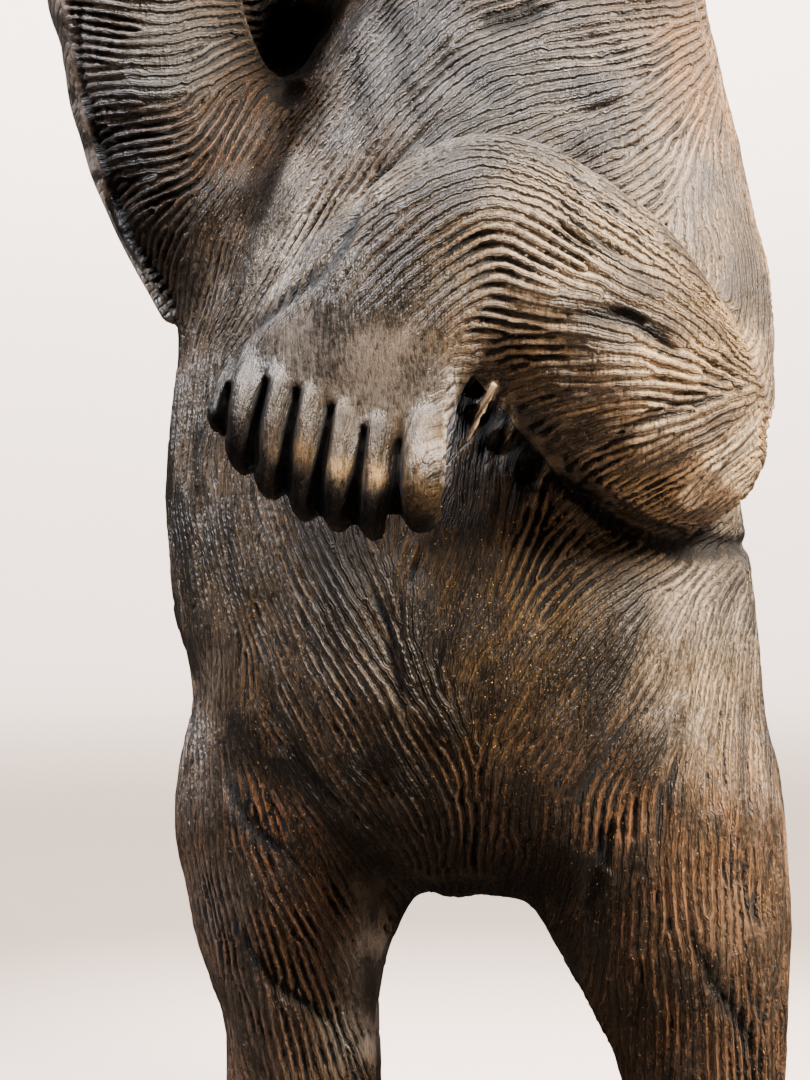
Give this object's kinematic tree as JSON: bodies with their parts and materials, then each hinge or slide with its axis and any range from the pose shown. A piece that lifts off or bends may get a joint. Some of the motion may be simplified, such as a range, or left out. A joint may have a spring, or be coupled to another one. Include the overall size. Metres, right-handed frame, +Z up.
{
  "type": "carved wooden bear",
  "caption": "Standing bear carved in dark stained wood, fur in gouge strokes, one paw across the belly and one raised, on a low oval base.",
  "frame": {"origin": "on the floor plane under the carving, at the flat underside of the base, below the middle of the body", "axes": "+Z up, the bear looks along -Y, +X is the bear's left"},
  "size_m": [0.2073, 0.17, 0.4944],
  "materials": {
    "stained_wood": "dark walnut stain under a satin wax, warm brown where it is worn"
  },
  "bodies": {
    "root": {"bear": "stained_wood"}
  },
  "joints": []
}
